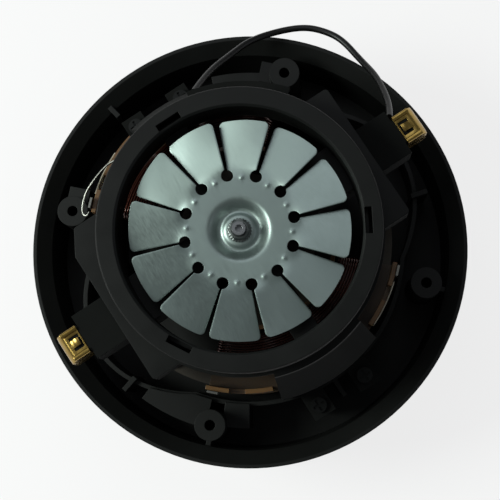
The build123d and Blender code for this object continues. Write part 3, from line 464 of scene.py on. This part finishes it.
def makeFan():
    corners, faces = [], []
    rows = fanRows()
    across = fan["columns"]
    for blade in range(fan["blades"]):
        middle = fan["firstHole"] + (blade + 0.5) * 360 / fan["blades"]
        start = len(corners)
        for radius, height in rows:
            half = bladeHalf(radius)
            twisted = ease((radius - fan["twistFrom"]) / (fan["twistTo"] - fan["twistFrom"]))
            twist = math.radians(fan["pitch"]) * twisted
            for column in range(across + 1):
                offset = half * (2 * column / across - 1)
                side = radius * math.sin(math.radians(offset))  # towards the next blade anticlockwise
                z = height - side * math.tan(twist)
                z -= fan["bow"] * (side / fan["bowHalf"]) ** 2 * ease((radius - fan["bowFrom"]) / fan["bowOver"])
                pip = (radius - fan["pipCircle"]) ** 2 + side ** 2
                z += fan["pipHeight"] * math.exp(-pip / fan["pipRadius"] ** 2)
                corners.append(polar(radius, middle + offset, z))
        for row in range(len(rows) - 1):
            for column in range(across):
                a = start + row * (across + 1) + column
                b = a + across + 1
                faces.append((a, b, b + 1, a + 1))
    piece = meshPiece("coolingFanBlades", corners, faces, fanSteel, "rotor")
    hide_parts("cooling_fan")
    bakeShape(piece, weld=fan["weld"], sheet=fan["sheet"], bevel=fan["edge"], smoothAngle=32)


makeFan()

nut = {
    "flats": 7.0, "bottom": 111.2, "top": 114.0, "bore": 2.5, "chamfer": 0.5, "crown": 0.15, "edge": 0.06,
    "flange": 4.5, "flangeHeight": 0.7, "hexFrom": 0.8, "teeth": 24, "toothDepth": 0.35,
}


def makeFanNut():
    # Hexagon with chamfered corners on a serrated flange
    corners, faces = [], []
    steps = nut["teeth"] * 4
    levels = [(nut["bottom"], "flange"), (nut["bottom"] + nut["flangeHeight"], "flange"),
              (nut["bottom"] + nut["hexFrom"], "hex"), (nut["top"] - nut["chamfer"], "hex"),
              (nut["top"], "round"), (nut["top"], "bore"), (nut["bottom"], "bore")]
    for z, kind in levels:
        for n in range(steps):
            angle = 360 * n / steps
            inHex = (angle + 30) % 60 - 30
            hexReach = nut["flats"] / 2 / math.cos(math.radians(inHex))
            reach = {
                "flange": nut["flange"] - (nut["toothDepth"] if n % 4 < 2 else 0.0),
                "hex": hexReach,
                "round": min(hexReach, nut["flats"] / 2) - nut["crown"],
                "bore": nut["bore"],
            }[kind]
            corners.append(polar(reach, angle, z))
    for level in range(len(levels)):
        here, there = level * steps, (level + 1) % len(levels) * steps
        for n in range(steps):
            after = (n + 1) % steps
            faces.append((here + n, here + after, there + after, there + n))
    piece = meshPiece("fanNut", corners, faces, darkSteel, "rotor")
    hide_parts("fan_nut")
    bakeShape(piece, bevel=nut["edge"], smoothAngle=30)


makeFanNut()
print("fan and its nut built")

# Field windings: fine enamelled wire on each bundle
coil = {
    "inner": 37.6, "outer": 47.2, "halfAngle": 46.0, "halfHeight": 26.0, "middle": 62.0,
    "wireRadius": 0.43, "pitch": 0.9, "corner": 3.4, "lift": 0.35,
    "faceTurns": 8, "faceStart": 0.6, "faceSpread": 1.3,  # turns that show on the faces, and their spacing
    "jitter": 0.12, "jitterSide": 0.12, "jitterHeight": 0.1,  # how far a turn strays, and how quickly
    "runSteps": 12, "sideSteps": 8, "cornerStep": 15,
}


def racetrack(radius, halfAngle, halfHeight, pole, seed):
    # A rounded rectangle wrapped round the shaft's axis, a little uneven as wound by hand
    reach = radius * math.radians(halfAngle)
    corner, turnBy = coil["corner"], coil["cornerStep"]
    flat = []
    for n in range(coil["runSteps"] + 1):
        flat.append((between(-reach + corner, reach - corner, n / coil["runSteps"]), halfHeight))
    for n in range(1, 90 // turnBy):
        turn = math.radians(90 - turnBy * n)
        flat.append((reach - corner + corner * math.cos(turn), halfHeight - corner + corner * math.sin(turn)))
    for n in range(coil["sideSteps"] + 1):
        flat.append((reach, between(halfHeight - corner, corner - halfHeight, n / coil["sideSteps"])))
    for n in range(1, 90 // turnBy):
        turn = math.radians(-turnBy * n)
        flat.append((reach - corner + corner * math.cos(turn), corner - halfHeight + corner * math.sin(turn)))
    flat += [(-s, -z) for s, z in flat]
    points = []
    quick, slow = coil["jitterSide"], coil["jitterHeight"]
    for along, height in flat:
        drift = noise.noise(Vector((along * quick, height * quick, seed * 7.3))) * coil["jitter"]
        sway = noise.noise(Vector((along * slow, seed * 3.1, height * slow))) * coil["jitter"]
        angle = pole + math.degrees(along / radius)
        points.append(polar(radius + drift, angle, coil["middle"] + height + sway))
    return points


def makeFieldWinding(letter, pole):
    lines = []
    inner, outer = coil["inner"] + coil["wireRadius"], coil["outer"] - coil["wireRadius"]
    count = int((outer - inner) / coil["pitch"]) + 1
    for n in range(count):
        radius = between(inner, outer, n / (count - 1))
        spare = math.degrees(coil["lift"] / radius)
        lines.append(racetrack(radius, coil["halfAngle"] + spare, coil["halfHeight"] + coil["lift"], pole, n))
    for n in range(coil["faceTurns"]):
        turn = n + coil["faceStart"]
        for radius, seed in ((coil["outer"] + coil["lift"], 20 + n), (coil["inner"] - coil["lift"], 40 + n)):
            angle = coil["halfAngle"] - math.degrees(turn * coil["faceSpread"] * coil["pitch"] / radius)
            lines.append(racetrack(radius, angle, coil["halfHeight"] - turn * coil["pitch"], pole, seed))
    piece = wirePiece("fieldWinding_" + letter, lines, coil["wireRadius"], enamelWireWithPaintedShade, "root",
                      closed=True)
    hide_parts("field_winding_" + letter)


makeFieldWinding("a", 90)
makeFieldWinding("b", 270)
print("field windings wound")

# Armature winding: wires that cross from slot to slot over both ends
armature = {
    "slots": 12, "span": 5, "strands": 6, "wireRadius": 0.42, "slotRadius": 15.5, "topFace": 78.0,
    "bottomFace": 46.0, "topRise": 5.6, "bottomRise": 7.4, "rim": 17.4, "nearShaft": 9.4, "dipSpread": 4.6,
    "flattest": 0.35, "fullest": 0.95, "stray": 2.0,  # share of the rise, and degrees that a strand strays by
    "bars": 24,
    # radius, angle before the bar and height of the short lead to each commutator bar
    "barLead": [(13.4, -10, 82.0), (13.6, -6, 84.2), (12.6, -2, 85.6), (11.2, 0, 86.2)],
}


def crossingWires():
    random.seed(12)
    lines = []
    step = 360 / armature["slots"]
    slot, rim = armature["slotRadius"], armature["rim"]
    for slotNumber in range(armature["slots"]):
        for strand in range(armature["strands"]):
            first = slotNumber * step
            last = first + armature["span"] * step
            share = strand / (armature["strands"] - 1)
            dip = armature["nearShaft"] + armature["dipSpread"] * share
            shift = random.uniform(-armature["stray"], armature["stray"])
            height = between(armature["flattest"], armature["fullest"], 1 - share + slotNumber % 3 * 0.02)
            for face, rise, sign in ((armature["topFace"], armature["topRise"], 1),
                                     (armature["bottomFace"], armature["bottomRise"], -1)):
                low = face + sign * 0.2
                peak = face + sign * rise * height
                lines.append([
                    polar(slot, first, low - sign * 3),
                    polar(slot + 1, first, low + sign * 0.6),
                    polar(rim - share, first + 6, between(low, peak, 0.5)),
                    polar(between(rim, dip, 0.45), first + 32 + shift, between(low, peak, 0.9)),
                    polar(dip, (first + last) / 2 + shift, peak),
                    polar(between(rim, dip, 0.45), last - 32 + shift, between(low, peak, 0.9)),
                    polar(rim - share, last - 6, between(low, peak, 0.5)),
                    polar(slot + 1, last, low + sign * 0.6),
                    polar(slot, last, low - sign * 3),
                ])
    for bar in range(armature["bars"]):
        angle = (bar + 0.5) * 360 / armature["bars"]
        lines.append([polar(radius, angle + ahead, z) for radius, ahead, z in armature["barLead"]])
    piece = wirePiece("armatureWires", lines, armature["wireRadius"], enamelWireWithPaintedShade, "rotor")
    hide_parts("armature_winding")


# Wire already inside the heads, seen only between the crossing strands
head = {
    # radius and height round the upper head's section; the lower head is its mirror image, a little deeper
    "section": [(8.2, 78.4), (15.2, 78.4), (16.4, 80.0), (15.2, 82.0), (12.4, 83.3), (9.4, 83.6), (8.2, 83.4)],
    "middle": 62.0, "deeper": 0.3, "steps": 72, "ripple": 0.12, "ripples": 24,
}


def makeHeads():
    corners, faces = [], []
    steps = head["steps"]
    for end in (1, -1):
        for n in range(steps):
            angle = 360 * n / steps
            ripple = head["ripple"] * math.sin(math.radians(angle * head["ripples"]))
            for radius, z in head["section"]:
                height = z if end > 0 else 2 * head["middle"] - z - (z - armature["topFace"]) * head["deeper"]
                corners.append(polar(radius + ripple, angle, height))
    count = len(head["section"])
    for end in (0, 1):
        start = end * steps * count
        for n in range(steps):
            here, there = start + n * count, start + (n + 1) % steps * count
            for k in range(count):
                after = (k + 1) % count
                quad = (here + k, there + k, there + after, here + after)
                faces.append(quad if end else quad[::-1])
    bakeShape(meshPiece("armatureWireCore", corners, faces, enamelBundleWithPaintedShade, "rotor"))


crossingWires()
makeHeads()
print("armature wound")

# Brass clips over the ends of the brush boxes
clip = {
    "sheet": 0.5, "weld": 0.02, "edge": 0.1, "inner": 70.7, "end": 79.4, "sideEnd": 77.4, "halfWidth": 5.8,
    "top": 100.15, "bottom": 85.4, "bend": 93.0, "lip": 96.4,
    "barTop": 100.95, "barWidth": 1.9,  # bright bar that the side wall is folded into
    "window": (71.3, 75.4), "windowHalf": 2.7, "shoulder": 4.0,
    "tongueHalf": 1.5, "tongueLift": {71.9: 0.95, 72.6: 1.0, 73.5: 0.95, 74.3: 0.4},
    "crownFrom": 77, "crownHalf": 4.5, "crown": 0.15,
    # distance from the shaft and drop below the top of the plate's line, from inside to over the end
    "topLine": [(70.7, 0), (71.3, 0), (71.9, 0), (72.6, 0), (73.5, 0), (74.3, 0), (75.4, 0), (76.2, 0),
                (76.7, 0.05), (77.1, 0.3), (78.6, 2.3), (79.1, 3.1), (79.35, 3.9), (79.4, 4.8)],
}


def makeClip(letter, angle):
    corners, faces = [], []

    def addGrid(rows, columns, keep, place):
        # A bent sheet: one corner per row and column, and a face wherever keep says so
        start = len(corners)
        for row in rows:
            for column in columns:
                corners.append(place(row, column))
        wide = len(columns)
        for r in range(len(rows) - 1):
            for c in range(wide - 1):
                if keep(rows[r], (columns[c] + columns[c + 1]) / 2):
                    a = start + r * wide + c
                    faces.append((a, a + wide, a + wide + 1, a + 1))

    # Top plate with a window and its tongue, then down over the end
    half, window, tongue, shoulder = (clip[key] for key in ("halfWidth", "windowHalf", "tongueHalf", "shoulder"))
    along = [(x, clip["top"] - drop) for x, drop in clip["topLine"]]
    along += [(clip["end"], clip["bend"]), (clip["end"], clip["bottom"])]
    columns = [-half, -shoulder, -window, -tongue, 0.0, tongue, window, shoulder, half]

    def keepTop(row, y):
        if not clip["window"][0] <= row[0] < clip["window"][1] or abs(y) > window:
            return True
        return row[0] >= min(clip["tongueLift"]) and abs(y) < tongue

    def placeTop(row, y):
        rise = clip["tongueLift"].get(row[0], 0.0) if abs(y) <= tongue else 0.0
        crown = clip["crown"] if abs(y) < clip["crownHalf"] and row[0] > clip["crownFrom"] else 0.0
        return (row[0] + crown, y, row[1] + rise)

    addGrid(along, columns, keepTop, placeTop)

    # Side walls folded over at their tops as bright bars, and their low parts at the end
    bar = half - clip["barWidth"]
    folded = [(half, clip["bottom"]), (half, clip["bend"]), (half, 99.4), (half, 100.3), (half - 0.08, 100.65),
              (half - 0.3, 100.87), (half - 0.6, clip["barTop"]), (bar + 0.3, clip["barTop"]),
              (bar, clip["barTop"] - 0.25)]
    low = [(half, clip["bottom"]), (half, clip["bend"]), (half, clip["lip"])]
    for side in (-1, 1):
        for rows, lengths in ((folded, [clip["inner"], 71.0, 73.0, 75.0, 77.0, clip["sideEnd"]]),
                              (low, [clip["sideEnd"], clip["end"]])):
            addGrid(rows[::side], lengths, lambda row, x: True, lambda row, x: (x, side * row[0], row[1]))
    turn = Matrix.Rotation(math.radians(angle), 3, "Z")
    piece = meshPiece("brushClip_" + letter, [turn @ Vector(c) for c in corners], faces, clipBrass, "root")
    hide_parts("brush_clip_" + letter)
    bakeShape(piece, weld=clip["weld"], sheet=clip["sheet"], bevel=clip["edge"], smoothAngle=40)


makeClip("a", 0)
makeClip("b", 180)
print("clips folded")

# Brush springs: real helices inside the guide tubes; squashed is what a spring keeps of its length
spring = {
    "radius": 2.5, "wire": 0.25, "from": 40.2, "to": 74.8, "turns": 17, "height": 92.3, "turnSteps": 12,
    "squashed": 0.83,
}


def makeSpring(letter, side):
    points = []
    steps = spring["turns"] * spring["turnSteps"]
    for n in range(steps + 1):
        turn = 2 * math.pi * n / spring["turnSteps"]
        x = between(spring["from"], spring["to"], n / steps)
        points.append((side * x, spring["radius"] * math.cos(turn),
                       spring["height"] + spring["radius"] * math.sin(turn)))
    curve = wirePiece("springWire_" + letter, [points], spring["wire"], shaftSteel, "root")
    graph = bpy.context.evaluated_depsgraph_get()
    mesh = bpy.data.meshes.new_from_object(curve.evaluated_get(graph))
    bpy.data.objects.remove(curve)
    mesh.materials.clear()
    piece = addPiece("brushSpring_" + letter, mesh, shaftSteel, "root")
    mesh.shade_smooth()
    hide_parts("brush_spring_" + letter)
    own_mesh(piece)


makeSpring("a", 1)
makeSpring("b", -1)
print("springs wound")

# White floor that shows its own white to the camera, in metal and through film, and keeps the shadow
floorData = {"size": 4000, "level": -0.2, "white": 0.8, "paper": "#f4f4f4"}
bpy.ops.mesh.primitive_plane_add(size=floorData["size"] * mm, location=(0, 0, floorData["level"] * mm))
floor = bpy.context.object
floor.name = "studioFloor"
floorPaint, floorTree, floorShader = newMaterial("whiteStudioPaper", Base_Color=linearColour(floorData["paper"]),
                                                 Roughness=0.9)
rays = addNode(floorTree, "ShaderNodeLightPath")
seen = addNode(floorTree, "ShaderNodeMath", {0: rays.outputs["Is Camera Ray"], 1: rays.outputs["Is Glossy Ray"]},
               operation="MAXIMUM")
seen = addNode(floorTree, "ShaderNodeMath", {0: seen.outputs[0], 1: rays.outputs["Is Transmission Ray"]},
               operation="MAXIMUM")
share = addNode(floorTree, "ShaderNodeMath", {0: seen.outputs[0], 1: floorData["white"]}, operation="MULTIPLY")
glow = addNode(floorTree, "ShaderNodeEmission", {"Color": (1, 1, 1, 1), "Strength": 1.0})
mixed = addNode(floorTree, "ShaderNodeMixShader",
                {0: share.outputs[0], 1: floorShader.outputs[0], 2: glow.outputs[0]})
floorTree.links.new(mixed.outputs[0], floorTree.nodes["Material Output"].inputs["Surface"])
floor.data.materials.append(floorPaint)

# Place, size, power in watts and colour; the key stands at the camera's left, as the blades' shadows show
lampAim = (0, 0, 80)
lamps = {
    "keyLamp": {"place": (-520, 340, 620), "size": 380, "power": 5.6, "colour": "#f6fff8"},
    "topFill": {"place": (160, 420, 760), "size": 600, "power": 0.85, "colour": "#f4f8ff"},
    "sideFill": {"place": (620, -420, 420), "size": 600, "power": 0.3, "colour": "#eef2ff"},
}
for name, values in lamps.items():
    data = bpy.data.lights.new(name, "AREA")
    data.shape = "DISK"
    data.size = values["size"] * mm
    data.energy = values["power"]
    data.color = linearColour(values["colour"])[:3]
    lamp = bpy.data.objects.new(name, data)
    lamp.location = Vector(values["place"]) * mm
    lamp.rotation_euler = (Vector(lampAim) * mm - lamp.location).to_track_quat("-Z", "Y").to_euler()
    bpy.context.scene.collection.objects.link(lamp)

# Dim even air on the object, plain white behind it
studio = {"air": "#eef3f6", "strength": 0.18}
world = bpy.data.worlds.new("studioAir")
bpy.context.scene.world = world
world.use_nodes = True
worldTree = world.node_tree
worldTree.nodes.clear()
worldRays = addNode(worldTree, "ShaderNodeLightPath")
air = addNode(worldTree, "ShaderNodeBackground",
              {"Color": linearColour(studio["air"]), "Strength": studio["strength"]})
white = addNode(worldTree, "ShaderNodeBackground", {"Color": (1, 1, 1, 1), "Strength": 1.0})
either = addNode(worldTree, "ShaderNodeMixShader",
                 {0: worldRays.outputs["Is Camera Ray"], 1: air.outputs[0], 2: white.outputs[0]})
addNode(worldTree, "ShaderNodeOutputWorld", {"Surface": either.outputs[0]})
bpy.context.scene.view_settings.view_transform = "Standard"
print("floor and lamps set")
